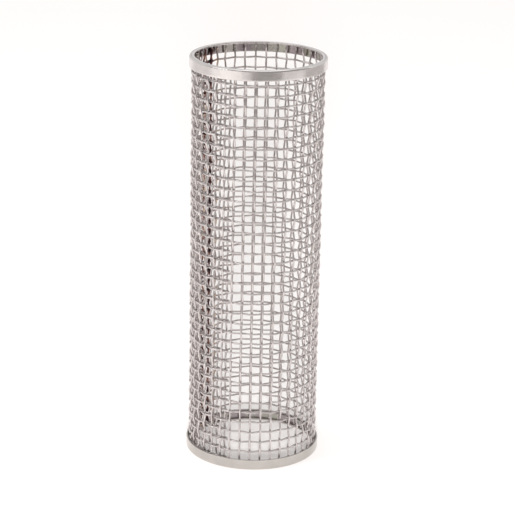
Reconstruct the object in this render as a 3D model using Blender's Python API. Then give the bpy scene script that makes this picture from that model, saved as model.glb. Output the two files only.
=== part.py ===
"""Open-ended wire-mesh strainer basket: a tube of woven stainless cloth between two rolled end bands."""

import math

import bmesh
import bpy
from mathutils import Matrix, Vector

# Driving dimensions in metres; angles in degrees, measured from +X towards +Y.
HEIGHT = 0.1665
OUTER_DIAMETER = 0.0550
BAND_HEIGHT = 0.0043
STRIP_THICKNESS = 0.0007
LIP_WIDTH = 0.0021
ROLLED_EDGE = 0.0005
WIRE_DIAMETER = 0.0008
AXIAL_WIRES = 41
LAPPED_WIRES = 2
LAPPED_WIRE_SPACING = 0.0012
HOOP_WIRES = 38
FIRST_HOOP_HEIGHT = 0.0033
LAST_HOOP_DEPTH = 0.0064
CLOTH_EDGE_AZIMUTH = 137.8
WELD_WIDTH = 0.0010
WELD_DEPTH = 0.0016
CLEARANCE = 0.0002

# How finely the round shapes are drawn.
BAND_SEGMENTS = 72
AXIAL_WIRE_SIDES = 6
HOOP_WIRE_SIDES = 4
HOOPS_PER_WELD = 3
SHARP_ANGLE = math.radians(50)

# Sizes that follow from the driving dimensions.
WIRE_RADIUS = WIRE_DIAMETER / 2
BAND_RADIUS = OUTER_DIAMETER / 2
SKIRT_INNER_RADIUS = BAND_RADIUS - STRIP_THICKNESS
CRIMP = WIRE_DIAMETER + CLEARANCE
CLOTH_RADIUS = SKIRT_INNER_RADIUS - CLEARANCE - WIRE_RADIUS - CRIMP
AXIAL_WIRE_LENGTH = HEIGHT - 2 * (STRIP_THICKNESS + CLEARANCE)
HOOP_PITCH = (HEIGHT - FIRST_HOOP_HEIGHT - LAST_HOOP_DEPTH) / (HOOP_WIRES - 1)
LAPPED_WIRE_ANGLE = LAPPED_WIRE_SPACING / CLOTH_RADIUS
WIRES_PER_TURN = AXIAL_WIRES - LAPPED_WIRES
AXIAL_STEP_ANGLE = (2 * math.pi + LAPPED_WIRE_ANGLE) / WIRES_PER_TURN
WELD_AZIMUTH = math.radians(CLOTH_EDGE_AZIMUTH) + (LAPPED_WIRE_ANGLE + AXIAL_STEP_ANGLE) / 2
WELD_OVERHANG = HOOP_PITCH / 2 - CLEARANCE


def clear_scene():
    """Remove whatever the opened file holds."""
    for thing in list(bpy.data.objects):
        bpy.data.objects.remove(thing)


def steel(name, colour, roughness):
    """A bare stainless steel material."""
    material = bpy.data.materials.new(name)
    material.use_nodes = True
    shader = material.node_tree.nodes["Principled BSDF"]
    shader.inputs["Base Color"].default_value = (*colour, 1.0)
    shader.inputs["Roughness"].default_value = roughness
    shader.inputs["Metallic"].default_value = 1.0
    return material


def add_object(name, mesh, material, parent):
    """Put a mesh in the scene as one named sub-part."""
    if not mesh.materials:
        mesh.materials.append(material)
    piece = bpy.data.objects.new(name, mesh)
    piece.parent = parent
    bpy.context.scene.collection.objects.link(piece)
    return piece


def add_frame():
    """The empty that every sub-part hangs from, at the centre of the lower rim."""
    frame = bpy.data.objects.new("basket_frame", None)
    bpy.context.scene.collection.objects.link(frame)
    return frame


def smooth_round_faces(mesh):
    """Shade the round faces smooth and keep the edges sharp."""
    mesh.shade_smooth()
    mesh.set_sharp_from_angle(angle=SHARP_ANGLE)


def axial_angle(index):
    """Azimuth of an axial wire: the last ones lap past the first, where the cloth's edges meet."""
    return math.radians(CLOTH_EDGE_AZIMUTH) + index * AXIAL_STEP_ANGLE


def band_profile():
    """Outline of the upper band in the XZ plane, z measured from the rim down."""
    lip_inner_radius = BAND_RADIUS - LIP_WIDTH
    corner = ROLLED_EDGE * (1 - math.cos(math.pi / 4))
    outline = [
        (BAND_RADIUS, -BAND_HEIGHT),
        (BAND_RADIUS, -ROLLED_EDGE),
        (BAND_RADIUS - corner, -corner),
        (BAND_RADIUS - ROLLED_EDGE, 0.0),
        (lip_inner_radius, 0.0),
        (lip_inner_radius, -STRIP_THICKNESS),
        (SKIRT_INNER_RADIUS, -STRIP_THICKNESS),
        (SKIRT_INNER_RADIUS, -BAND_HEIGHT),
    ]
    return [Vector((x, 0.0, z)) for x, z in outline]


def band_mesh():
    """A rolled ring with an outer skirt and a lip turned in over the cloth's edge."""
    shape = bmesh.new()
    corners = [shape.verts.new(point) for point in band_profile()]
    edges = [shape.edges.new(pair) for pair in zip(corners, corners[1:] + corners[:1])]
    bmesh.ops.spin(
        shape,
        geom=corners + edges,
        cent=(0.0, 0.0, 0.0),
        axis=(0.0, 0.0, 1.0),
        angle=2 * math.pi,
        steps=BAND_SEGMENTS,
        use_merge=True,
    )
    bmesh.ops.recalc_face_normals(shape, faces=shape.faces)
    mesh = bpy.data.meshes.new("band")
    shape.to_mesh(mesh)
    shape.free()
    smooth_round_faces(mesh)
    return mesh


def add_bands(material, parent):
    """The two end bands: the lower one is the upper one turned over."""
    mesh = band_mesh()
    top = add_object("top_band", mesh, material, parent)
    top.location.z = HEIGHT
    bottom = add_object("bottom_band", mesh, material, parent)
    bottom.rotation_euler.x = math.pi


def section_radius(sides):
    """Corner radius of the regular polygon that has the round wire's section area."""
    return WIRE_RADIUS * math.sqrt(2 * math.pi / (sides * math.sin(2 * math.pi / sides)))


def axial_wire_mesh():
    """A straight wire, standing on z = 0."""
    radius = section_radius(AXIAL_WIRE_SIDES)
    shape = bmesh.new()
    bmesh.ops.create_cone(
        shape,
        cap_ends=True,
        segments=AXIAL_WIRE_SIDES,
        radius1=radius,
        radius2=radius,
        depth=AXIAL_WIRE_LENGTH,
        matrix=Matrix.Translation((0.0, 0.0, AXIAL_WIRE_LENGTH / 2)),
    )
    mesh = bpy.data.meshes.new("axial_wire")
    shape.to_mesh(mesh)
    shape.free()
    smooth_round_faces(mesh)
    return mesh


def add_axial_wires(plain, tinted, parent):
    """The wires along the basket; those in the welded lap are heat tinted."""
    plain_mesh = axial_wire_mesh()
    tinted_mesh = plain_mesh.copy()
    for index in range(AXIAL_WIRES):
        angle = axial_angle(index)
        in_lap = index < LAPPED_WIRES or index >= WIRES_PER_TURN
        wire = add_object(
            f"axial_wire_{index + 1:02d}",
            tinted_mesh if in_lap else plain_mesh,
            tinted if in_lap else plain,
            parent,
        )
        wire.location = (
            CLOTH_RADIUS * math.cos(angle),
            CLOTH_RADIUS * math.sin(angle),
            STRIP_THICKNESS + CLEARANCE,
        )
        wire.rotation_euler.z = angle


def crossings():
    """(azimuth, side) of every axial wire in turn round a hoop, side 1 where an odd hoop is outside.

    The two wires of a lapped pair lie side by side, so a hoop passes both on the same side.
    """
    turn = []
    for index in range(WIRES_PER_TURN):
        side = -1 if index % 2 == 0 else 1
        turn.append((axial_angle(index), side))
        if index < LAPPED_WIRES:
            turn.append((axial_angle(index + WIRES_PER_TURN), side))
    return turn


def add_hoop(shape, height, first_side):
    """One closed hoop wire, in straight runs that pass outside one axial wire and inside the next."""
    radius = section_radius(HOOP_WIRE_SIDES)
    sections = []
    for angle, side in crossings():
        outward = Vector((math.cos(angle), math.sin(angle), 0.0))
        centre = outward * (CLOTH_RADIUS + first_side * side * CRIMP)
        centre.z = height
        section = []
        for corner in range(HOOP_WIRE_SIDES):
            turn = 2 * math.pi * (corner + 0.5) / HOOP_WIRE_SIDES
            offset = outward * math.cos(turn) + Vector((0.0, 0.0, math.sin(turn)))
            section.append(shape.verts.new(centre + offset * radius))
        sections.append(section)
    for section, following in zip(sections, sections[1:] + sections[:1]):
        for side in range(HOOP_WIRE_SIDES):
            other = (side + 1) % HOOP_WIRE_SIDES
            shape.faces.new((section[side], following[side], following[other], section[other]))


def hoops_mesh(hoops, first_side):
    """The rings of one group of hoops, the lowest at z = 0, each on the other side to its neighbour."""
    shape = bmesh.new()
    for index in range(hoops):
        side = first_side if index % 2 == 0 else -first_side
        add_hoop(shape, index * HOOP_PITCH, side)
    bmesh.ops.recalc_face_normals(shape, faces=shape.faces)
    mesh = bpy.data.meshes.new("hoops")
    shape.to_mesh(mesh)
    shape.free()
    return mesh


def weld_mesh(hoops):
    """The bead of seam weld that joins a group's hoops in the middle of the lap."""
    length = (hoops - 1) * HOOP_PITCH + 2 * WELD_OVERHANG
    size = Matrix.Diagonal((WELD_DEPTH, WELD_WIDTH, length, 1.0))
    place = Matrix.Translation((CLOTH_RADIUS, 0.0, 0.0))
    shape = bmesh.new()
    bmesh.ops.create_cube(shape, size=1.0, matrix=place @ size)
    mesh = bpy.data.meshes.new("seam_weld")
    shape.to_mesh(mesh)
    shape.free()
    return mesh


def welded_hoops_mesh(hoops, first_side):
    """A group of hoops fused to its length of the seam weld."""
    scene_objects = bpy.context.scene.collection.objects
    rings = bpy.data.objects.new("rings", hoops_mesh(hoops, first_side))
    weld = bpy.data.objects.new("weld", weld_mesh(hoops))
    scene_objects.link(rings)
    scene_objects.link(weld)
    weld.location.z = (hoops - 1) * HOOP_PITCH / 2
    weld.rotation_euler.z = WELD_AZIMUTH
    fuse = rings.modifiers.new("fuse", "BOOLEAN")
    fuse.operation = "UNION"
    fuse.object = weld
    evaluated = rings.evaluated_get(bpy.context.evaluated_depsgraph_get())
    mesh = bpy.data.meshes.new_from_object(evaluated)
    bpy.data.objects.remove(rings)
    bpy.data.objects.remove(weld)
    return mesh


def add_hoops(material, parent):
    """The hoop wires, in groups joined at the seam, from the bottom up; the last group may be smaller."""
    meshes = {}
    for group, first in enumerate(range(0, HOOP_WIRES, HOOPS_PER_WELD)):
        kind = (min(HOOPS_PER_WELD, HOOP_WIRES - first), 1 if first % 2 == 0 else -1)
        if kind not in meshes:
            meshes[kind] = welded_hoops_mesh(*kind)
        hoops = add_object(f"hoop_wires_{group + 1:02d}", meshes[kind], material, parent)
        hoops.location.z = FIRST_HOOP_HEIGHT + first * HOOP_PITCH


def main():
    clear_scene()
    band_steel = steel("band_steel", (0.62, 0.61, 0.60), 0.28)
    wire_steel = steel("wire_steel", (0.50, 0.47, 0.46), 0.38)
    tinted_steel = steel("heat_tinted_steel", (0.16, 0.09, 0.07), 0.50)
    frame = add_frame()
    add_bands(band_steel, frame)
    add_axial_wires(wire_steel, tinted_steel, frame)
    add_hoops(wire_steel, frame)


main()
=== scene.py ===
"""Strainer basket: a lapped and welded tube of woven wire cloth between rolled bands."""

import math

import bmesh
import bpy
from bpy.props import FloatProperty, FloatVectorProperty, PointerProperty
from mathutils import Matrix, Vector, noise


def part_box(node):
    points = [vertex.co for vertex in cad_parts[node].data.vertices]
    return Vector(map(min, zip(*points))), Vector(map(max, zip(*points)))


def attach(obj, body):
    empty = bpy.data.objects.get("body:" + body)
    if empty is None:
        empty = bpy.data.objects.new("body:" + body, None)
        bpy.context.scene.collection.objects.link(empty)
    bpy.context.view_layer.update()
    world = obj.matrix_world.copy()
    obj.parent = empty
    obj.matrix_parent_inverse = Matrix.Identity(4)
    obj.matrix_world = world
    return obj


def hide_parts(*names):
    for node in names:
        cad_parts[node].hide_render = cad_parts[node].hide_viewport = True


bl_info = {
    "name": "Strainer Basket",
    "version": (1, 0, 0),
    "blender": (4, 5, 0),
    "location": "3D View > Sidebar > Strainer Basket",
    "description": "Builds a welded wire cloth strainer basket with rolled end bands",
    "category": "Add Mesh",
}

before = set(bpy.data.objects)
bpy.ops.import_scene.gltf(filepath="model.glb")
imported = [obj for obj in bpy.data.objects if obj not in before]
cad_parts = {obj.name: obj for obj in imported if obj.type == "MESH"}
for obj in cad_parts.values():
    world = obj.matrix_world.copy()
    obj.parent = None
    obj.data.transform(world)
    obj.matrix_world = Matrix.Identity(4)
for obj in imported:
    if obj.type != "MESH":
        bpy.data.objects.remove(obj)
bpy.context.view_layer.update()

FULL_TURN = 2 * math.pi

# The wires and the groups of hoops that the frame holds.
AXIAL_WIRES = sum(name.startswith("axial_wire_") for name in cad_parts)
HOOP_GROUPS = sum(name.startswith("hoop_wires_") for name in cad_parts)
HOOPS_PER_GROUP = 3

# How the cloth is wound: one turn, the wires lapped at the seam, and an inner layer after them.
LAPPED_WIRES = 2
INNER_LAP_WIRES = 10
WIRES_PER_TURN = AXIAL_WIRES - LAPPED_WIRES
CLOTH_WIRES = AXIAL_WIRES + INNER_LAP_WIRES


def box_centre(node):
    """Middle of a frame node's box."""
    low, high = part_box(node)
    return (low + high) / 2


def box_height(node):
    """Height of a frame node's box."""
    low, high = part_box(node)
    return high.z - low.z


def node_azimuth(node):
    """Azimuth of a frame node's middle."""
    centre = box_centre(node)
    return math.atan2(centre.y, centre.x)


# Places read from the frame.
BASKET_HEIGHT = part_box("top_band")[1].z
BAND_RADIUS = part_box("top_band")[1].x
BAND_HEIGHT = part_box("bottom_band")[1].z
WIRE_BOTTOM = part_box("axial_wire_01")[0].z
WIRE_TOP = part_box("axial_wire_01")[1].z
HOOP_PITCH = (box_centre("hoop_wires_02").z - box_centre("hoop_wires_01").z) / HOOPS_PER_GROUP
FIRST_HOOP_HEIGHT = box_centre("hoop_wires_01").z - HOOP_PITCH
GROUP_SHORTFALL = box_height("hoop_wires_01") - box_height(f"hoop_wires_{HOOP_GROUPS:02d}")
HOOP_WIRES = HOOP_GROUPS * HOOPS_PER_GROUP - round(GROUP_SHORTFALL / HOOP_PITCH)
FIRST_WIRE_AZIMUTH = node_azimuth("axial_wire_01")
WIRE_STEP = (node_azimuth("axial_wire_02") - FIRST_WIRE_AZIMUTH) % FULL_TURN
LAP_AZIMUTH = FIRST_WIRE_AZIMUTH + (WIRE_STEP * (AXIAL_WIRES - 1) - FULL_TURN) / 2

# How finely the shapes are drawn.
WIRE_SIDES = 8
STEPS_PER_PITCH = 6
BAND_STEPS = 216
CORNER_STEPS = 4
SKIRT_CUTS = 5
LIP_CUTS = 2
WELD_SPOT_FINENESS = 3
MERGE_DISTANCE = 0.000005

# Faces that meet at more than these angles, in degrees, keep a sharp edge.
WIRE_SHARP_ANGLE = 60
BAND_SHARP_ANGLE = 35
NEVER_SHARP = 180

# The bevel at a wire's cut ends, as a share of its radius.
WIRE_END_BEVEL = 1 / 3

# Hoops over which the cloth comes free of a band.
HELD_HOOPS = 3

# Where the cloth starts to step inward, and how many wires that takes.
LAP_STEP_START = WIRES_PER_TURN - 2
LAP_STEP_WIRES = 3

# Wires in the middle of the two shifted parts of the cloth, and how far those parts reach.
FRONT_WIRE = 14
BACK_WIRE = 29
SHIFTED_WIRES = 12

# Unevenness of the cloth: its rate for each wire and for each hoop, and which pattern it is.
BULGES = (0.21, 0.17, 3.1)
AXIAL_WANDER = (0.9, 0.22, 11.7)
HOOP_WANDER = (0.3, 0.8, 23.9)
HOOP_JITTER = (0.9, 1.7, 5.3)
JITTER_SHARE = 0.5

# How much of their drift the wires keep where the bands hold them.
HELD_AXIAL_DRIFT = 0.3
HELD_HOOP_DRIFT = 0.2

# A weld spot: its radius, its stretch through, across and up the lap, and its lumps.
WELD_SPOT_RADIUS = 0.0006
WELD_SPOT_STRETCH = (0.95, 1.25, 0.85)
WELD_LUMP_SHARE = 0.35
WELD_LUMP_RATE = 2600

# The rolled bands' unevenness: slow waves, with quicker ripples on them, round the ring.
WAVE_RATE = 2.3
RIPPLE_RATE = 7.5
RIPPLE_SHARE = 0.35
EDGE_WAVE_SHARE = 1.2
TOP_BAND_PATTERN = 1.5
BOTTOM_BAND_PATTERN = 8.5

# Nearly all of a noise pattern lies between these values.
NOISE_LOW = 0.3
NOISE_HIGH = 0.7

# How the heat of the weld spread: lengths are distances from the seam.
HEAT_PATCH_REACH = 0.0013
COOLER_BETWEEN = 0.0013
COOLER_BY_TURNS = 0.0005
HOTTEST_WIDTH_SHARE = 0.3
STRAW_START = 0.004
STRAW_SHARE = 0.62

# Steel colours. The heat tints are in the order of more heat.
FAINT_STRAW = (0.46, 0.37, 0.31)
LEAST_HEATED = (0.54, 0.46, 0.40)
HEAT_TINTS = (
    (0.16, (0.68, 0.56, 0.43)),
    (0.34, (0.62, 0.46, 0.36)),
    (0.46, (0.44, 0.33, 0.35)),
    (0.58, (0.33, 0.17, 0.12)),
    (0.74, (0.15, 0.070, 0.058)),
    (0.86, (0.080, 0.042, 0.055)),
)
BAND_STAIN = (0.50, 0.44, 0.41)
# The inner wall's two tinges: oxide tinges made darker than the strip as painted shade on the
# inner wall.
PAINTED_SHADE_PURPLE_OXIDE = (0.44, 0.39, 0.41)
PAINTED_SHADE_GREEN_OXIDE = (0.50, 0.50, 0.44)
WELD_BROWN = (0.26, 0.15, 0.12)

# Depths of the fine relief.
WIRE_RELIEF = 0.000006
BAND_RELIEF = 0.0000025
WELD_RELIEF = 0.00008

# The floor's two shades, the white that it shows, and its roughness.
FLOOR_SHADE = (1.0, 0.96, 0.945)
FLOOR_PALER_SHADE = (1.0, 0.965, 0.95)
FLOOR_WHITE = (1.0, 0.985, 0.975)
FLOOR_ROUGHNESS = 0.9

# The light from in front: its softness and its height above the horizon.
FRONT_LIGHT_ANGLE = math.radians(9.0)
FRONT_LIGHT_ELEVATION = math.radians(13.0)

# Soft lamps: name, place, width and height, and watts.
SOFTBOXES = (
    ("left_softbox", (-0.75, -0.30, 0.42), (0.40, 0.60), 2.1),
    ("right_softbox", (0.85, 0.05, 0.40), (0.30, 0.60), 0.4),
    ("top_softbox", (0.0, 0.05, 0.95), (0.70, 0.60), 1.6),
)

# Boards that only the steel mirrors: name, place, width and height, and brightness.
BOARDS = (
    ("front_board", (0.100, -0.42, 0.09), (0.41, 0.20), 0.43),
    ("bright_board", (-0.33, -0.34, 0.08), (0.32, 0.20), 1.3),
    ("left_board", (-0.45, 0.16, 0.07), (0.50, 0.20), 0.92),
    ("right_board", (0.45, 0.16, 0.07), (0.50, 0.20), 0.60),
)
BOARD_COLOUR = (1.0, 0.96, 0.94)

# The curved wall that only the steel mirrors; it is open behind its back edge.
WALL_SIDES = 64
WALL_RADIUS = 0.80
WALL_HEIGHT = 1.2
WALL_MIDDLE_HEIGHT = 0.61
WALL_BACK_EDGE = 0.08
WALL_BRIGHTNESS = 0.36


class ClothSizes(bpy.types.PropertyGroup):
    """Sizes of the woven wire cloth."""

    wire_diameter: FloatProperty(
        name="Wire diameter",
        description="Thickness of the round wire, both ways",
        default=0.0008,
        precision=5,
        unit="LENGTH",
        subtype="DISTANCE",
    )
    middle_radius: FloatProperty(
        name="Cloth radius",
        description="Radius of the middle of the cloth",
        default=0.02595,
        precision=5,
        unit="LENGTH",
        subtype="DISTANCE",
    )
    lap_step: FloatProperty(
        name="Lap step",
        description="How far inside its first turn the cloth runs on past the seam",
        default=0.0015,
        precision=5,
        unit="LENGTH",
        subtype="DISTANCE",
    )
    lap_end: FloatProperty(
        name="Lap end",
        description="How far a hoop wire runs past the last axial wire, in mesh openings",
        default=0.28,
    )
    height_drift: FloatProperty(
        name="Hoop drift",
        description="How far the hoop wires wander up and down",
        default=0.00022,
        precision=5,
        unit="LENGTH",
        subtype="DISTANCE",
    )
    side_drift: FloatProperty(
        name="Axial drift",
        description="How far the axial wires wander sideways",
        default=0.00022,
        precision=5,
        unit="LENGTH",
        subtype="DISTANCE",
    )
    front_shift: FloatProperty(
        name="Front shift",
        description="How far round the wires at the front lean over, from the bottom to the top",
        default=math.radians(1.25),
        unit="ROTATION",
        subtype="ANGLE",
    )
    back_shift: FloatProperty(
        name="Back shift",
        description="How far round the wires at the back right have crept from an even spacing",
        default=math.radians(-2.1),
        unit="ROTATION",
        subtype="ANGLE",
    )
    dent_depth: FloatProperty(
        name="Dent depth",
        description="How far the cloth bulges and dips between the bands",
        default=0.00018,
        precision=5,
        unit="LENGTH",
        subtype="DISTANCE",
    )
    crimp_peak: FloatProperty(
        name="Crimp peak",
        description="How much tighter than a plain wave the wires bend where they cross",
        default=0.06,
    )


class BandSizes(bpy.types.PropertyGroup):
    """Sizes of the rolled end bands."""

    strip_thickness: FloatProperty(
        name="Strip thickness",
        description="Thickness of the strip that the bands are rolled from",
        default=0.0007,
        precision=5,
        unit="LENGTH",
        subtype="DISTANCE",
    )
    lip_width: FloatProperty(
        name="Lip width",
        description="Width of the lip turned in over the cloth's edge",
        default=0.0021,
        precision=5,
        unit="LENGTH",
        subtype="DISTANCE",
    )
    rolled_edge: FloatProperty(
        name="Rolled edge",
        description="Radius of the outer bend between skirt and lip",
        default=0.00062,
        precision=5,
        unit="LENGTH",
        subtype="DISTANCE",
    )
    cut_edge: FloatProperty(
        name="Cut edge",
        description="Rounding of the strip's cut edges",
        default=0.00016,
        precision=5,
        unit="LENGTH",
        subtype="DISTANCE",
    )
    waviness: FloatProperty(
        name="Waviness",
        description="How far the rolled skirt runs out of true",
        default=0.00004,
        precision=5,
        unit="LENGTH",
        subtype="DISTANCE",
    )


class SteelFinish(bpy.types.PropertyGroup):
    """Colours and polish of the stainless steel."""

    band_colour: FloatVectorProperty(
        name="Band steel",
        description="Colour of the rolled bands",
        default=(0.72, 0.685, 0.67),
        subtype="COLOR",
    )
    # The lower band's steel is the band steel made darker: painted shade, for the shaded floor
    # near the base that the band mirrors.
    foot_painted_shade_colour: FloatVectorProperty(
        name="Foot steel",
        description="Colour of the lower band, scuffed dull where the basket stands",
        # Colour of the lower band, darker than the upper one as painted shade for the shaded
        # floor that it mirrors
        default=(0.545, 0.520, 0.492),
        subtype="COLOR",
    )
    wire_colour: FloatVectorProperty(
        name="Wire steel",
        description="Colour of the drawn wire",
        default=(0.67, 0.63, 0.62),
        subtype="COLOR",
    )
    tint_colour: FloatVectorProperty(
        name="Heat tint",
        description="Darkest colour of the heated steel beside the seam weld",
        default=(0.050, 0.024, 0.026),
        subtype="COLOR",
    )
    band_roughness: FloatProperty(
        name="Band roughness",
        description="Roughness of the rolled bands",
        default=0.20,
        subtype="FACTOR",
    )
    wire_roughness: FloatProperty(
        name="Wire roughness",
        description="Roughness of the drawn wire",
        default=0.19,
        subtype="FACTOR",
    )
    tint_width: FloatProperty(
        name="Tint width",
        description="How far from the seam the steel is coloured by heat",
        default=0.0066,
        precision=5,
        unit="LENGTH",
        subtype="DISTANCE",
    )
    straw_width: FloatProperty(
        name="Straw width",
        description="How far from the seam the steel has a faint straw colour",
        default=0.018,
        precision=4,
        unit="LENGTH",
        subtype="DISTANCE",
    )


class StudioSettings(bpy.types.PropertyGroup):
    """Camera and light."""

    lens: FloatProperty(
        name="Lens",
        description="Focal length of the camera, in millimetres",
        default=140.87,
    )
    camera_place: FloatVectorProperty(
        name="Camera place",
        description="Where the camera stands",
        default=(0.0, -0.7818, 0.3397),
        precision=4,
        unit="LENGTH",
        subtype="TRANSLATION",
    )
    pitch: FloatProperty(
        name="Camera pitch",
        description="How far the camera looks down",
        default=math.radians(18.222),
        unit="ROTATION",
        subtype="ANGLE",
    )
    roll: FloatProperty(
        name="Camera roll",
        description="How far the camera leans",
        default=math.radians(1.061),
        unit="ROTATION",
        subtype="ANGLE",
    )
    yaw: FloatProperty(
        name="Camera turn",
        description="How far the camera is turned to the right",
        default=math.radians(0.074),
        unit="ROTATION",
        subtype="ANGLE",
    )
    surround: FloatProperty(
        name="Surround light",
        description="Strength of the even light from all round",
        default=0.55,
    )
    front_light: FloatProperty(
        name="Front light",
        description="Strength of the light from in front, which only the floor shows",
        default=6.4,
    )
    floor_size: FloatProperty(
        name="Floor size",
        description="Length of the floor's sides",
        default=8.0,
        unit="LENGTH",
        subtype="DISTANCE",
    )
    floor_grey: FloatProperty(
        name="Floor brightness",
        description="How pale the floor is",
        default=0.86,
        subtype="FACTOR",
    )
    floor_lift: FloatProperty(
        name="Floor lift",
        description="How much of the white surround the floor shows beside its own shade",
        default=0.18,
        subtype="FACTOR",
    )


def cloth_sizes():
    return bpy.context.scene.strainer_cloth


def band_sizes():
    return bpy.context.scene.strainer_bands


def finish_settings():
    return bpy.context.scene.strainer_finish


def studio_settings():
    return bpy.context.scene.strainer_studio


# Modelling helpers.


def deselect_everything():
    bpy.ops.object.select_all(action="DESELECT")


def make_active(piece):
    """Select one object and nothing else."""
    deselect_everything()
    piece.select_set(True)
    bpy.context.view_layer.objects.active = piece


def start_editing(mode):
    """Go into edit mode with nothing selected; mode is VERT, EDGE or FACE."""
    bpy.ops.object.mode_set(mode="EDIT")
    bpy.ops.mesh.select_mode(type=mode)
    bpy.ops.mesh.select_all(action="DESELECT")


def stop_editing():
    bpy.ops.object.mode_set(mode="OBJECT")


def pick_points(piece, wanted):
    """Select the points whose place is wanted."""
    bpy.ops.mesh.select_all(action="DESELECT")
    shape = bmesh.from_edit_mesh(piece.data)
    for point in shape.verts:
        point.select_set(wanted(point.co))
    bmesh.update_edit_mesh(piece.data)


def pick_edges(piece, wanted):
    """Select the edges whose two ends are wanted."""
    bpy.ops.mesh.select_all(action="DESELECT")
    shape = bmesh.from_edit_mesh(piece.data)
    for edge in shape.edges:
        if wanted(edge.verts[0].co, edge.verts[1].co):
            edge.select_set(True)
    bmesh.update_edit_mesh(piece.data)


def copy_of(master, name):
    """A copy of a finished shape, with its own mesh."""
    piece = master.copy()
    piece.data = master.data.copy()
    piece.name = name
    piece.data.name = name
    bpy.context.scene.collection.objects.link(piece)
    return piece


def move_points(piece, place):
    """Put every point of a piece where place says."""
    for point in piece.data.vertices:
        point.co = place(point.co)
    piece.data.update()


def shade_round(piece, degrees):
    """Smooth the round faces and keep sharper edges."""
    make_active(piece)
    bpy.ops.object.shade_smooth_by_angle(angle=math.radians(degrees))


def finish_piece(piece, material, slot, *nodes):
    """Give a piece its steel, the nodes it stands for and the body it rides on; slot is not used.
    """
    piece.data.materials.clear()
    piece.data.materials.append(material)
    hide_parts(*nodes)
    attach(piece, "root")


def drop(piece):
    """Remove a shape that was only copied from."""
    mesh = piece.data
    bpy.data.objects.remove(piece)
    bpy.data.meshes.remove(mesh)


# The cloth's form.


def on_cylinder(radius, azimuth, height):
    return Vector((radius * math.cos(azimuth), radius * math.sin(azimuth), height))


def smooth_step(value):
    """Ease from 0 to 1 as value goes from 0 to 1."""
    value = min(1.0, max(0.0, value))
    return value * value * (3 - 2 * value)


def crimp_wave(turn):
    """Side and depth of a crimped wire, from -1 to 1; it is at its peaks at whole numbers."""
    peak = cloth_sizes().crimp_peak
    return (math.cos(math.pi * turn) + peak * math.cos(3 * math.pi * turn)) / (1 + peak)


def free_cloth(row):
    """1 where the cloth is free between the bands, falling to 0 where they hold it."""
    from_bottom = smooth_step(row / HELD_HOOPS)
    from_top = smooth_step((HOOP_WIRES - 1 - row) / HELD_HOOPS)
    return from_bottom * from_top


def share_of_drift(row, held_share):
    """1 where the cloth is free, falling to the held share where the bands hold it."""
    return held_share + (1 - held_share) * free_cloth(row)


def unevenness(pattern, column, row):
    """A smooth pattern from -1 to 1 over the wires and hoops of the cloth."""
    wire_rate, hoop_rate, number = pattern
    return noise.noise((column * wire_rate, row * hoop_rate, number))


def layer_radius(column):
    """Middle radius of the cloth: past the seam it runs on inside its first turn."""
    sizes = cloth_sizes()
    inward = smooth_step((column - LAP_STEP_START) / LAP_STEP_WIRES)
    return sizes.middle_radius - sizes.lap_step * inward


def cloth_bulge(column, row):
    """Gentle bulges and dips of the whole cloth."""
    return cloth_sizes().dent_depth * free_cloth(row) * unevenness(BULGES, column, row)


def shift_near(column, middle):
    """1 at the middle wire of a shifted part of the cloth, falling to 0 on either side."""
    return smooth_step(1 - abs(column - middle) / SHIFTED_WIRES)


def even_azimuth(column, row):
    """Azimuth of a place in the cloth, whose openings aren't all equally wide.

    The inner layer leans with the wires of the first turn that it lies behind.
    """
    sizes = cloth_sizes()
    around = column - WIRES_PER_TURN if column > WIRES_PER_TURN else column
    lean = sizes.front_shift * shift_near(around, FRONT_WIRE) * row / HOOP_WIRES
    creep = sizes.back_shift * shift_near(column, BACK_WIRE)
    return FIRST_WIRE_AZIMUTH + column * WIRE_STEP + lean + creep


def axial_place(column, row):
    """Azimuth of an axial wire at a height counted in hoops."""
    drift = unevenness(AXIAL_WANDER, column, row) * share_of_drift(row, HELD_AXIAL_DRIFT)
    return even_azimuth(column, row) + cloth_sizes().side_drift * drift / BAND_RADIUS


def hoop_height(column, row):
    """Height of a hoop wire at a place round it counted in axial wires."""
    wander = unevenness(HOOP_WANDER, column, row)
    jitter = unevenness(HOOP_JITTER, column, row)
    drift = (wander + JITTER_SHARE * jitter) * share_of_drift(row, HELD_HOOP_DRIFT)
    return FIRST_HOOP_HEIGHT + row * HOOP_PITCH + cloth_sizes().height_drift * drift


def straight_wire(name, length, spans):
    """A straight round wire standing on z = 0, its sides cut across into even steps."""
    radius = cloth_sizes().wire_diameter / 2
    deselect_everything()
    bpy.ops.mesh.primitive_cylinder_add(
        vertices=WIRE_SIDES,
        radius=radius,
        depth=length,
        location=(0.0, 0.0, length / 2),
        end_fill_type="NGON",
    )
    wire = bpy.context.object
    wire.name = name
    bpy.ops.object.transform_apply(location=True, rotation=False, scale=False)
    start_editing("EDGE")
    pick_edges(wire, lambda one, other: abs(one.z - other.z) < radius)
    bpy.ops.mesh.bevel(offset=radius * WIRE_END_BEVEL, segments=1, affect="EDGES")
    pick_edges(wire, lambda one, other: abs(one.z - other.z) > length / 2)
    bpy.ops.mesh.subdivide(number_cuts=spans - 1)
    pick_edges(wire, lambda one, other: abs(one.z - other.z) > length / (2 * spans))
    bpy.ops.mesh.subdivide(number_cuts=STEPS_PER_PITCH - 1)
    stop_editing()
    return wire


def weave_axial_wire(wire, column):
    """Crimp a straight wire and stand it in its place in the cloth."""
    sizes = cloth_sizes()
    middle = layer_radius(column)
    side = -1 if column % 2 else 1

    def place(point):
        row = (WIRE_BOTTOM + point.z - FIRST_HOOP_HEIGHT) / HOOP_PITCH
        radius = middle + side * sizes.wire_diameter / 2 * crimp_wave(row)
        radius += cloth_bulge(column, row)
        azimuth = axial_place(column, row)
        outward = on_cylinder(1.0, azimuth, 0.0)
        along = on_cylinder(1.0, azimuth + math.pi / 2, 0.0)
        height = Vector((0.0, 0.0, WIRE_BOTTOM + point.z))
        return outward * (radius + point.x) + along * point.y + height

    move_points(wire, place)


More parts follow.
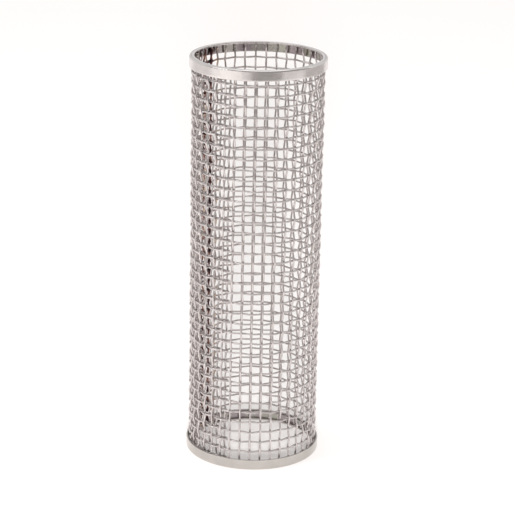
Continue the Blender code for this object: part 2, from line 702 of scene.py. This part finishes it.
def roll_hoop(wire, row, length):
    """Crimp a straight wire and roll it into a hoop whose ends lap."""
    sizes = cloth_sizes()
    first = -sizes.lap_end
    columns = CLOTH_WIRES - 1 + 2 * sizes.lap_end
    side = -1 if row % 2 == 0 else 1

    def place(point):
        column = first + columns * point.z / length
        radius = layer_radius(column) + cloth_bulge(column, row)
        radius += side * sizes.wire_diameter / 2 * crimp_wave(column)
        height = hoop_height(column, row) - point.y
        return on_cylinder(radius + point.x, even_azimuth(column, row), height)

    move_points(wire, place)


# Steel.


def new_material(name):
    """A node material with no nodes yet."""
    material = bpy.data.materials.new(name)
    material.use_nodes = True
    material.node_tree.nodes.clear()
    return material


def add_node(tree, kind, label, **settings):
    """A labelled node with its settings."""
    node = tree.nodes.new(kind)
    node.label = label
    for setting, value in settings.items():
        setattr(node, setting, value)
    return node


def feed(tree, socket, value):
    """Set an input, or link another node's output to it."""
    if isinstance(value, bpy.types.NodeSocket):
        tree.links.new(value, socket)
    else:
        socket.default_value = value


def add_math(tree, label, operation, *values):
    """A sum on numbers."""
    node = add_node(tree, "ShaderNodeMath", label, operation=operation)
    for socket, value in zip(node.inputs, values):
        feed(tree, socket, value)
    return node.outputs["Value"]


def add_noise(tree, label, vector, scale, detail=2.0):
    """A cloudy pattern from 0 to 1."""
    node = add_node(tree, "ShaderNodeTexNoise", label)
    feed(tree, node.inputs["Vector"], vector)
    node.inputs["Scale"].default_value = scale
    node.inputs["Detail"].default_value = detail
    return node.outputs["Fac"]


def add_range(tree, label, value, low, high, to_low, to_high):
    """Change a value's range."""
    node = add_node(tree, "ShaderNodeMapRange", label)
    for socket, number in zip(node.inputs, (value, low, high, to_low, to_high)):
        feed(tree, socket, number)
    return node.outputs["Result"]


def spread_noise(tree, label, pattern, low, high):
    """Spread a noise pattern's values over a range of their own."""
    return add_range(tree, label, pattern, NOISE_LOW, NOISE_HIGH, low, high)


def add_mix(tree, label, factor, first, second):
    """Mix two colours."""
    node = add_node(tree, "ShaderNodeMix", label, data_type="RGBA")
    feed(tree, node.inputs["Factor"], factor)
    feed(tree, node.inputs["A"], first)
    feed(tree, node.inputs["B"], second)
    return node.outputs["Result"]


def add_mapping(tree, label, vector, scale, location=(0.0, 0.0, 0.0)):
    """Scale and move a pattern's coordinates."""
    node = add_node(tree, "ShaderNodeMapping", label)
    feed(tree, node.inputs["Vector"], vector)
    node.inputs["Scale"].default_value = scale
    node.inputs["Location"].default_value = location
    return node.outputs["Vector"]


def add_surface(tree, shader):
    """Make a shader the material's surface."""
    output = add_node(tree, "ShaderNodeOutputMaterial", "Surface")
    feed(tree, output.inputs["Surface"], shader)


def opaque(colour):
    return (*colour, 1.0)


def shaded(colour, share):
    """A colour made lighter or darker."""
    return opaque([channel * share for channel in colour])


def add_steel(tree, colour, roughness, height, distance):
    """Bare polished steel with fine relief."""
    bump = add_node(tree, "ShaderNodeBump", "Fine relief")
    bump.inputs["Strength"].default_value = 1.0
    bump.inputs["Distance"].default_value = distance
    feed(tree, bump.inputs["Height"], height)
    shader = add_node(tree, "ShaderNodeBsdfPrincipled", "Steel")
    shader.inputs["Metallic"].default_value = 1.0
    feed(tree, shader.inputs["Base Color"], colour)
    feed(tree, shader.inputs["Roughness"], roughness)
    feed(tree, shader.inputs["Normal"], bump.outputs["Normal"])
    add_surface(tree, shader.outputs["BSDF"])


def distance_from_upright(tree, label, coordinates, line=(0.0, 0.0, 0.0)):
    """Distance from an upright line: the basket's middle line, unless another is given."""
    flat = add_mapping(tree, f"{label}, flat", coordinates, (1.0, 1.0, 0.0), -Vector(line))
    node = add_node(tree, "ShaderNodeVectorMath", label, operation="LENGTH")
    feed(tree, node.inputs["Vector"], flat)
    return node.outputs["Value"]


def heat_amount(tree, coordinates, distance):
    """How strongly the steel was heated, from 0 to 1, in uneven patches along the seam."""
    width = finish_settings().tint_width
    patches = add_noise(tree, "Uneven heat", coordinates, scale=260.0, detail=3.0)
    spread = spread_noise(tree, "Patch size", patches, -HEAT_PATCH_REACH, HEAT_PATCH_REACH)
    split = add_node(tree, "ShaderNodeSeparateXYZ", "Height")
    feed(tree, split.inputs["Vector"], coordinates)
    height = split.outputs["Z"]
    above = add_math(tree, "Above the first hoop", "SUBTRACT", height, FIRST_HOOP_HEIGHT)
    hoops_up = add_math(tree, "Hoops up", "DIVIDE", above, HOOP_PITCH)
    between = add_math(tree, "Between hoops", "PINGPONG", hoops_up, 0.5)
    cooler = add_range(tree, "Cooler between hoops", between, 0.1, 0.4, 0.0, COOLER_BETWEEN)
    second = add_math(tree, "Every second hoop", "PINGPONG", hoops_up, 1.0)
    cooler = add_math(tree, "Cooler by turns", "MULTIPLY_ADD", second, COOLER_BY_TURNS, cooler)
    reach = add_math(tree, "Uneven distance", "ADD", distance, spread)
    reach = add_math(tree, "Heated reach", "ADD", reach, cooler)
    return add_range(tree, "Heat", reach, width, width * HOTTEST_WIDTH_SHARE, 0.0, 1.0)


def heat_colours(tree, heat, plain):
    """Straw, purple-grey, brown, then near black as the steel was heated more."""
    ramp = add_node(tree, "ShaderNodeValToRGB", "Heat tint")
    feed(tree, ramp.inputs["Fac"], heat)
    stops = ramp.color_ramp.elements
    stops[0].color = opaque(plain)
    stops[1].color = opaque(finish_settings().tint_colour)
    for position, colour in HEAT_TINTS:
        stops.new(position).color = opaque(colour)
    return ramp.outputs["Color"]


def wire_steel():
    """Drawn wire: marks along its length, dull patches, and heat tint beside the seam."""
    settings = finish_settings()
    material = new_material("drawn_wire_steel")
    tree = material.node_tree
    coordinates = add_node(tree, "ShaderNodeTexCoord", "Coordinates").outputs
    place = coordinates["Object"]
    marks_along = add_mapping(tree, "Along the wire", coordinates["UV"], (14.0, 90.0, 1.0))
    marks = add_noise(tree, "Drawing marks", marks_along, scale=1.0, detail=4.0)
    patches = add_noise(tree, "Dull patches", place, scale=420.0, detail=3.0)
    shade = spread_noise(tree, "Shade", patches, 0.0, 1.0)
    darker = shaded(settings.wire_colour, 0.84)
    lighter = shaded(settings.wire_colour, 1.10)
    plain = add_mix(tree, "Steel shades", shade, darker, lighter)
    seam = on_cylinder(cloth_sizes().middle_radius, LAP_AZIMUTH, 0.0)
    distance = distance_from_upright(tree, "Distance from the seam", place, seam)
    straw_end = settings.straw_width
    faint = add_range(tree, "Faint straw", distance, straw_end, STRAW_START, 0.0, STRAW_SHARE)
    plain = add_mix(tree, "Steel and straw", faint, plain, opaque(FAINT_STRAW))
    heat = heat_amount(tree, place, distance)
    tint = heat_colours(tree, heat, LEAST_HEATED)
    heated = add_math(tree, "Where heated", "GREATER_THAN", heat, 0.001)
    colour = add_mix(tree, "Steel and tint", heated, plain, tint)
    smoother = settings.wire_roughness - 0.07
    rougher = settings.wire_roughness + 0.12
    roughness = spread_noise(tree, "Drawn roughness", marks, smoother, rougher)
    roughness = add_math(tree, "Oxide roughness", "MULTIPLY_ADD", heat, 0.16, roughness)
    add_steel(tree, colour, roughness, marks, WIRE_RELIEF)
    return material


def rolling_marks(tree, coordinates, radius):
    """Fine marks round the ring, on the skirt and on the lip."""
    split = add_node(tree, "ShaderNodeSeparateXYZ", "Split")
    feed(tree, split.inputs["Vector"], coordinates)
    across = add_math(tree, "Across the strip", "ADD", split.outputs["Z"], radius)
    joined = add_node(tree, "ShaderNodeCombineXYZ", "Along and across")
    feed(tree, joined.inputs["X"], split.outputs["X"])
    feed(tree, joined.inputs["Y"], split.outputs["Y"])
    feed(tree, joined.inputs["Z"], across)
    strip = joined.outputs["Vector"]
    stretched = add_mapping(tree, "Along the strip", strip, (90.0, 90.0, 5200.0))
    return add_noise(tree, "Rolling marks", stretched, scale=1.0, detail=4.0)


def inner_wall(tree, radius):
    """1 on the skirt's inner wall, 0 on its outside and on the lip."""
    skirt_inner = BAND_RADIUS - band_sizes().strip_thickness
    lip_end = BAND_RADIUS - band_sizes().lip_width
    inside = add_range(tree, "Inside", radius, skirt_inner + 0.0001, skirt_inner, 0.0, 1.0)
    off_lip = add_range(tree, "Not the lip", radius, lip_end + 0.0009, lip_end + 0.0012, 0.0, 1.0)
    return add_math(tree, "Inner wall", "MULTIPLY", inside, off_lip)


def painted_shade_oxide_tinge(tree, coordinates):
    """Two tinges by turns round the inner wall: oxide tinges, darkened as painted shade."""
    round_ring = add_mapping(tree, "Round the ring", coordinates, (1.0, 1.0, 0.0))
    pattern = add_noise(tree, "Inside tinge", round_ring, scale=170.0, detail=1.0)
    tinged = add_range(tree, "Tinge", pattern, 0.42, 0.58, 0.0, 1.0)
    return add_mix(tree, "Dull inside", tinged, opaque(PAINTED_SHADE_PURPLE_OXIDE), opaque(PAINTED_SHADE_GREEN_OXIDE))


def band_steel(name, steel_colour):
    """Rolled strip: marks round the ring, faint stains outside, and inside an oxide tinge
    darkened as painted shade.
    """
    settings = finish_settings()
    material = new_material(name)
    tree = material.node_tree
    coordinates = add_node(tree, "ShaderNodeTexCoord", "Coordinates").outputs["Object"]
    radius = distance_from_upright(tree, "Radius", coordinates)
    marks = rolling_marks(tree, coordinates, radius)
    clouds = add_noise(tree, "Uneven polish", coordinates, scale=150.0, detail=3.0)
    shade = spread_noise(tree, "Shade", clouds, 0.0, 1.0)
    darker = shaded(steel_colour, 0.92)
    lighter = shaded(steel_colour, 1.06)
    plain = add_mix(tree, "Steel shades", shade, darker, lighter)
    stain = add_range(tree, "Stain amount", clouds, 0.62, 0.80, 0.0, 0.6)
    stained = add_mix(tree, "Faint stains", stain, plain, opaque(BAND_STAIN))
    inside = inner_wall(tree, radius)
    # The inner wall is painted darker than the strip: painted shade, with an oxide tinge.
    oxide = painted_shade_oxide_tinge(tree, coordinates)
    colour = add_mix(tree, "Strip and inside", inside, stained, oxide)
    smoother = settings.band_roughness - 0.06
    rougher = settings.band_roughness + 0.08
    roughness = spread_noise(tree, "Rolled roughness", marks, smoother, rougher)
    relief = add_math(tree, "Relief", "MULTIPLY_ADD", clouds, 6.0, marks)
    add_steel(tree, colour, roughness, relief, BAND_RELIEF)
    return material


def weld_steel():
    """Melted weld metal, dark with oxide."""
    material = new_material("seam_weld_steel")
    tree = material.node_tree
    coordinates = add_node(tree, "ShaderNodeTexCoord", "Coordinates").outputs["Object"]
    grain = add_noise(tree, "Weld grain", coordinates, scale=1400.0, detail=4.0)
    shade = add_range(tree, "Oxide", grain, 0.35, 0.65, 0.0, 1.0)
    dark = opaque(finish_settings().tint_colour)
    colour = add_mix(tree, "Weld shades", shade, dark, opaque(WELD_BROWN))
    roughness = spread_noise(tree, "Weld roughness", grain, 0.30, 0.55)
    add_steel(tree, colour, roughness, grain, WELD_RELIEF)
    return material


def material_named(name, make):
    """A material, made the first time it is asked for."""
    return bpy.data.materials.get(name) or make()


class STRAINER_OT_axial_wires(bpy.types.Operator):
    """Weave the upright wires, each crimped where the hoops cross it"""

    bl_idname = "strainer.axial_wires"
    bl_label = "Axial Wires"

    def execute(self, context):
        material = material_named("drawn_wire_steel", wire_steel)
        master = straight_wire("straight_axial_wire", WIRE_TOP - WIRE_BOTTOM, HOOP_WIRES)
        shade_round(master, WIRE_SHARP_ANGLE)
        for column in range(AXIAL_WIRES):
            wire = copy_of(master, f"crimped_axial_wire_{column + 1:02d}")
            weave_axial_wire(wire, column)
            in_lap = column < LAPPED_WIRES or column >= WIRES_PER_TURN
            slot = "seam_wire" if in_lap else "axial_wire"
            finish_piece(wire, material, slot, f"axial_wire_{column + 1:02d}")
        for extra in range(INNER_LAP_WIRES):
            wire = copy_of(master, f"inner_lap_wire_{extra + 1:02d}")
            weave_axial_wire(wire, AXIAL_WIRES + extra)
            finish_piece(wire, material, "axial_wire")
        drop(master)
        return {"FINISHED"}


class STRAINER_OT_hoop_wires(bpy.types.Operator):
    """Weave the hoop wires, each rolled round until its ends lap"""

    bl_idname = "strainer.hoop_wires"
    bl_label = "Hoop Wires"

    def execute(self, context):
        material = material_named("drawn_wire_steel", wire_steel)
        sizes = cloth_sizes()
        length = sizes.middle_radius * WIRE_STEP * (CLOTH_WIRES - 1 + 2 * sizes.lap_end)
        master = straight_wire("straight_hoop_wire", length, CLOTH_WIRES)
        shade_round(master, WIRE_SHARP_ANGLE)
        for row in range(HOOP_WIRES):
            wire = copy_of(master, f"woven_hoop_wire_{row + 1:02d}")
            roll_hoop(wire, row, length)
            node = f"hoop_wires_{row // HOOPS_PER_GROUP + 1:02d}"
            finish_piece(wire, material, "hoop_wire", node)
        drop(master)
        return {"FINISHED"}


def weld_spot():
    """One rough nugget of weld metal, wide across the lap and flattened."""
    deselect_everything()
    bpy.ops.mesh.primitive_ico_sphere_add(
        subdivisions=WELD_SPOT_FINENESS,
        radius=WELD_SPOT_RADIUS,
        location=(0.0, 0.0, 0.0),
    )
    spot = bpy.context.object
    start_editing("VERT")
    bpy.ops.mesh.select_all(action="SELECT")
    bpy.ops.transform.resize(value=WELD_SPOT_STRETCH)
    stop_editing()
    shade_round(spot, NEVER_SHARP)
    return spot


def place_weld_spot(spot, row):
    """Move a nugget to its hoop and roughen it."""
    radius = cloth_sizes().middle_radius - cloth_sizes().wire_diameter / 2
    height = FIRST_HOOP_HEIGHT + row * HOOP_PITCH
    turned = Matrix.Rotation(LAP_AZIMUTH, 3, "Z")
    centre = on_cylinder(radius, LAP_AZIMUTH, height)

    def place(point):
        lump = noise.noise(point * WELD_LUMP_RATE + Vector((row, 0.0, 0.0)))
        return centre + turned @ (point * (1 + WELD_LUMP_SHARE * lump))

    move_points(spot, place)


class STRAINER_OT_seam_weld(bpy.types.Operator):
    """Add the weld spots that hold the lapped cloth together"""

    bl_idname = "strainer.seam_weld"
    bl_label = "Seam Weld"

    def execute(self, context):
        material = material_named("seam_weld_steel", weld_steel)
        master = weld_spot()
        for group in range(HOOP_GROUPS):
            spots = []
            first = group * HOOPS_PER_GROUP
            for row in range(first, min(first + HOOPS_PER_GROUP, HOOP_WIRES)):
                spot = copy_of(master, f"seam_weld_spots_{group + 1:02d}")
                place_weld_spot(spot, row)
                spots.append(spot)
            make_active(spots[0])
            for spot in spots:
                spot.select_set(True)
            bpy.ops.object.join()
            finish_piece(spots[0], material, "seam_wire", f"hoop_wires_{group + 1:02d}")
        drop(master)
        return {"FINISHED"}


def band_section():
    """The upper band's section as one flat face, built up from a small plane."""
    sizes = band_sizes()
    thickness = sizes.strip_thickness
    skirt_middle = BAND_RADIUS - thickness / 2
    deselect_everything()
    bpy.ops.mesh.primitive_plane_add(
        size=1.0,
        location=(skirt_middle, 0.0, BASKET_HEIGHT - BAND_HEIGHT / 2),
        rotation=(math.pi / 2, 0.0, 0.0),
    )
    band = bpy.context.object
    band.scale = (thickness, BAND_HEIGHT, 1.0)
    bpy.ops.object.transform_apply(location=True, rotation=True, scale=True)
    underside = BASKET_HEIGHT - thickness
    start_editing("EDGE")
    bpy.ops.mesh.select_all(action="SELECT")
    bpy.ops.mesh.bisect(plane_co=(0.0, 0.0, underside), plane_no=(0.0, 0.0, 1.0))
    below_lip = underside - thickness / 2

    def lip_root(one, other):
        return max(one.x, other.x) < skirt_middle and min(one.z, other.z) > below_lip

    pick_edges(band, lip_root)
    lip = sizes.lip_width - thickness
    bpy.ops.mesh.extrude_region_move(TRANSFORM_OT_translate={"value": (-lip, 0.0, 0.0)})
    bpy.ops.mesh.select_mode(type="FACE")
    bpy.ops.mesh.select_all(action="SELECT")
    bpy.ops.mesh.dissolve_faces()
    stop_editing()
    return band


def round_corners(band):
    """Round the section's corners: the rolled outer bend, the inner bend and the cut edges."""
    sizes = band_sizes()
    top = BASKET_HEIGHT
    underside = top - sizes.strip_thickness
    inner = BAND_RADIUS - sizes.strip_thickness
    slack = sizes.strip_thickness / 10
    corners = (
        (BAND_RADIUS, top, sizes.rolled_edge),
        (inner, underside, sizes.cut_edge),
        (BAND_RADIUS - sizes.lip_width, top, sizes.cut_edge),
        (BAND_RADIUS - sizes.lip_width, underside, sizes.cut_edge),
        (BAND_RADIUS, top - BAND_HEIGHT, sizes.cut_edge),
        (inner, top - BAND_HEIGHT, sizes.cut_edge),
    )
    start_editing("VERT")
    for x, z, radius in corners:
        pick_points(band, lambda co: abs(co.x - x) < slack and abs(co.z - z) < slack)
        bpy.ops.mesh.bevel(offset=radius, segments=CORNER_STEPS, affect="VERTICES")
    stop_editing()


def split_skirt(band):
    """Cut the skirt and the lip across so that they can follow the roll's unevenness."""
    sizes = band_sizes()
    start_editing("EDGE")
    pick_edges(band, lambda one, other: abs(one.z - other.z) > BAND_HEIGHT / 2)
    bpy.ops.mesh.subdivide(number_cuts=SKIRT_CUTS)
    pick_edges(band, lambda one, other: abs(one.x - other.x) > sizes.lip_width / 4)
    bpy.ops.mesh.subdivide(number_cuts=LIP_CUTS)
    stop_editing()


def spin_band(band):
    """Turn the section into a closed ring."""
    start_editing("FACE")
    bpy.ops.mesh.select_all(action="SELECT")
    bpy.ops.mesh.dissolve_faces()
    bpy.ops.mesh.delete(type="ONLY_FACE")
    bpy.ops.mesh.select_mode(type="EDGE")
    bpy.ops.mesh.select_all(action="SELECT")
    bpy.ops.mesh.spin(
        steps=BAND_STEPS,
        angle=FULL_TURN,
        center=(0.0, 0.0, 0.0),
        axis=(0.0, 0.0, 1.0),
    )
    bpy.ops.mesh.select_all(action="SELECT")
    bpy.ops.mesh.remove_doubles(threshold=MERGE_DISTANCE)
    bpy.ops.mesh.normals_make_consistent(inside=False)
    stop_editing()


def roll_unevenly(band, pattern):
    """Let the rolled skirt run slightly out of true, inside its full size."""
    waviness = band_sizes().waviness

    def place(point):
        outward = Vector((point.x, point.y, 0.0))
        radius = outward.length
        outward.normalize()
        depth = (BASKET_HEIGHT - point.z) / BAND_HEIGHT
        wave = noise.noise((outward.x * WAVE_RATE, outward.y * WAVE_RATE, pattern))
        ripple_place = (outward.x * RIPPLE_RATE, outward.y * RIPPLE_RATE, pattern + depth)
        ripple = noise.noise(ripple_place)
        inward = waviness * ((1 + wave) / 2 + RIPPLE_SHARE * ripple)
        lift = waviness * (EDGE_WAVE_SHARE * wave + ripple) * smooth_step(depth)
        return outward * (radius - max(0.0, inward)) + Vector((0.0, 0.0, point.z + lift))

    move_points(band, place)


def turn_over(band):
    """Turn the upper band upside down to make the lower one."""
    move_points(band, lambda point: Vector((point.x, -point.y, BASKET_HEIGHT - point.z)))


class STRAINER_OT_end_bands(bpy.types.Operator):
    """Roll the two end bands from strip"""

    bl_idname = "strainer.end_bands"
    bl_label = "End Bands"

    def execute(self, context):
        settings = finish_settings()
        top_steel = band_steel("rolled_band_steel", settings.band_colour)
        # The lower band gets a darker copy of the band steel, as painted shade.
        foot_painted_shade_steel = band_steel("rolled_foot_painted_shade_steel", settings.foot_painted_shade_colour)
        master = band_section()
        round_corners(master)
        split_skirt(master)
        spin_band(master)
        for name, node, pattern, material in (
            ("rolled_top_band", "top_band", TOP_BAND_PATTERN, top_steel),
            ("rolled_bottom_band", "bottom_band", BOTTOM_BAND_PATTERN, foot_painted_shade_steel),
        ):
            band = copy_of(master, name)
            roll_unevenly(band, pattern)
            if node == "bottom_band":
                turn_over(band)
            shade_round(band, BAND_SHARP_ANGLE)
            finish_piece(band, material, "end_band", node)
        drop(master)
        return {"FINISHED"}


# The studio.


def white_where_seen(tree):
    """1 for rays that look straight at the surround or see it in metal or glass, else 0."""
    path = add_node(tree, "ShaderNodeLightPath", "Ray kind").outputs
    direct, mirrored = path["Is Camera Ray"], path["Is Glossy Ray"]
    seen = add_math(tree, "Seen or mirrored", "MAXIMUM", direct, mirrored)
    return add_math(tree, "Seen through too", "MAXIMUM", seen, path["Is Transmission Ray"])


def light_surround():
    """An even, pale surround that is dimmer as a light than as it is seen."""
    world = bpy.data.worlds.new("studio_surround")
    world.use_nodes = True
    tree = world.node_tree
    tree.nodes.clear()
    seen = white_where_seen(tree)
    dimmer = studio_settings().surround
    strength = add_range(tree, "Surround strength", seen, 0.0, 1.0, dimmer, 1.0)
    background = add_node(tree, "ShaderNodeBackground", "White surround")
    feed(tree, background.inputs["Strength"], strength)
    output = add_node(tree, "ShaderNodeOutputWorld", "World")
    feed(tree, output.inputs["Surface"], background.outputs["Background"])
    bpy.context.scene.world = world


def floor_paper():
    """Pale floor that keeps the basket's shadow and is white where nothing shades it."""
    settings = studio_settings()
    material = new_material("studio_floor")
    tree = material.node_tree
    paper = add_node(tree, "ShaderNodeBsdfPrincipled", "Paper")
    place = add_node(tree, "ShaderNodeTexCoord", "Place").outputs["Object"]
    grain = add_noise(tree, "Paper grain", place, scale=900.0)
    pale = shaded(FLOOR_SHADE, settings.floor_grey)
    paler = shaded(FLOOR_PALER_SHADE, settings.floor_grey)
    feed(tree, paper.inputs["Base Color"], add_mix(tree, "Paper shades", grain, pale, paler))
    paper.inputs["Roughness"].default_value = FLOOR_ROUGHNESS
    paper.inputs["Specular IOR Level"].default_value = 0.0
    lift = add_node(tree, "ShaderNodeEmission", "White surround")
    lift.inputs["Color"].default_value = opaque(FLOOR_WHITE)
    strength = add_math(tree, "Lift", "MULTIPLY", white_where_seen(tree), settings.floor_lift)
    feed(tree, lift.inputs["Strength"], strength)
    both = add_node(tree, "ShaderNodeAddShader", "Paper and surround")
    feed(tree, both.inputs[0], paper.outputs["BSDF"])
    feed(tree, both.inputs[1], lift.outputs["Emission"])
    add_surface(tree, both.outputs["Shader"])
    return material


def lay_floor():
    """A plain floor under the basket."""
    deselect_everything()
    bpy.ops.mesh.primitive_plane_add(size=studio_settings().floor_size, location=(0.0, 0.0, 0.0))
    floor = bpy.context.object
    floor.name = "studio_floor"
    floor.data.materials.append(floor_paper())


def grey_card(name, brightness):
    """Plain grey that looks the same from every side."""
    material = new_material(name)
    tree = material.node_tree
    board = add_node(tree, "ShaderNodeEmission", "Board")
    board.inputs["Color"].default_value = opaque(BOARD_COLOUR)
    board.inputs["Strength"].default_value = brightness
    add_surface(tree, board.outputs["Emission"])
    return material


def mirror_only(board, brightness):
    """Make a board grey and let it show only in the steel."""
    board.data.materials.append(grey_card(f"{board.name}_grey", brightness))
    board.visible_camera = False
    board.visible_diffuse = False
    board.visible_shadow = False
    board.visible_transmission = False


def stand_card(name, place, size, brightness):
    """A grey board facing the basket, seen only where the steel mirrors it."""
    deselect_everything()
    facing = (Vector((0.0, 0.0, place[2])) - Vector(place)).to_track_quat("Z", "Y")
    bpy.ops.mesh.primitive_plane_add(size=1.0, location=place, rotation=facing.to_euler())
    card = bpy.context.object
    card.name = name
    card.scale = (*size, 1.0)
    mirror_only(card, brightness)


def hang_softbox(name, place, size, power):
    """A large soft lamp aimed at the middle of the basket."""
    lamp = bpy.data.lights.new(name, "AREA")
    lamp.shape = "RECTANGLE"
    lamp.size, lamp.size_y = size
    lamp.energy = power
    holder = bpy.data.objects.new(name, lamp)
    aim = Vector((0.0, 0.0, BASKET_HEIGHT / 2)) - Vector(place)
    holder.location = place
    holder.rotation_euler = aim.to_track_quat("-Z", "Y").to_euler()
    bpy.context.scene.collection.objects.link(holder)


def stand_wall():
    """A curved grey wall round the front and the sides, seen only where the steel mirrors it."""
    deselect_everything()
    bpy.ops.mesh.primitive_cylinder_add(
        vertices=WALL_SIDES,
        radius=WALL_RADIUS,
        depth=WALL_HEIGHT,
        end_fill_type="NOTHING",
        location=(0.0, 0.0, WALL_MIDDLE_HEIGHT),
    )
    wall = bpy.context.object
    wall.name = "room_wall"
    start_editing("FACE")
    shape = bmesh.from_edit_mesh(wall.data)
    for face in shape.faces:
        face.select_set(face.calc_center_median().y > WALL_BACK_EDGE)
    bmesh.update_edit_mesh(wall.data)
    bpy.ops.mesh.delete(type="FACE")
    stop_editing()
    mirror_only(wall, WALL_BRIGHTNESS)


def shine_from_front():
    """A low, soft light from in front, which shades the floor behind the basket."""
    settings = studio_settings()
    lamp = bpy.data.lights.new("front_light", "SUN")
    lamp.energy = settings.front_light
    lamp.angle = FRONT_LIGHT_ANGLE
    holder = bpy.data.objects.new("front_light", lamp)
    holder.rotation_euler = (math.pi / 2 - FRONT_LIGHT_ELEVATION, 0.0, -settings.yaw)
    holder.visible_glossy = False
    bpy.context.scene.collection.objects.link(holder)


def stand_camera():
    """The camera, looking down at the basket from in front."""
    settings = studio_settings()
    lens = bpy.data.cameras.new("studio_camera")
    lens.lens = settings.lens
    camera = bpy.data.objects.new("studio_camera", lens)
    turn = Matrix.Rotation(-settings.yaw, 4, "Z")
    tip = Matrix.Rotation(math.pi / 2 - settings.pitch, 4, "X")
    lean = Matrix.Rotation(settings.roll, 4, "Z")
    camera.matrix_world = Matrix.Translation(settings.camera_place) @ turn @ tip @ lean
    bpy.context.scene.collection.objects.link(camera)
    bpy.context.scene.camera = camera


class STRAINER_OT_studio(bpy.types.Operator):
    """Set the surround, the floor, the lamps, the boards, the wall and the camera"""

    bl_idname = "strainer.studio"
    bl_label = "Studio"

    def execute(self, context):
        light_surround()
        lay_floor()
        shine_from_front()
        for softbox in SOFTBOXES:
            hang_softbox(*softbox)
        for board in BOARDS:
            stand_card(*board)
        stand_wall()
        stand_camera()
        context.scene.view_settings.view_transform = "Standard"
        return {"FINISHED"}


STEPS = (
    STRAINER_OT_axial_wires,
    STRAINER_OT_hoop_wires,
    STRAINER_OT_seam_weld,
    STRAINER_OT_end_bands,
    STRAINER_OT_studio,
)

SETTINGS = {
    "strainer_cloth": ClothSizes,
    "strainer_bands": BandSizes,
    "strainer_finish": SteelFinish,
    "strainer_studio": StudioSettings,
}


class STRAINER_PT_panel(bpy.types.Panel):
    """The basket's sizes, finishes and steps"""

    bl_idname = "STRAINER_PT_panel"
    bl_label = "Strainer Basket"
    bl_space_type = "VIEW_3D"
    bl_region_type = "UI"
    bl_category = "Strainer Basket"

    def draw(self, context):
        for settings in SETTINGS:
            group = getattr(context.scene, settings)
            box = self.layout.box()
            for name in group.__annotations__:
                box.prop(group, name)
        for step in STEPS:
            self.layout.operator(step.bl_idname)


def register():
    for name, group in SETTINGS.items():
        bpy.utils.register_class(group)
        setattr(bpy.types.Scene, name, PointerProperty(type=group))
    for step in STEPS:
        bpy.utils.register_class(step)
    bpy.utils.register_class(STRAINER_PT_panel)


def unregister():
    bpy.utils.unregister_class(STRAINER_PT_panel)
    for step in reversed(STEPS):
        bpy.utils.unregister_class(step)
    for name, group in SETTINGS.items():
        delattr(bpy.types.Scene, name)
        bpy.utils.unregister_class(group)


def main():
    register()
    bpy.ops.strainer.axial_wires()
    bpy.ops.strainer.hoop_wires()
    bpy.ops.strainer.seam_weld()
    bpy.ops.strainer.end_bands()
    bpy.ops.strainer.studio()


if __name__ == "__main__":
    main()
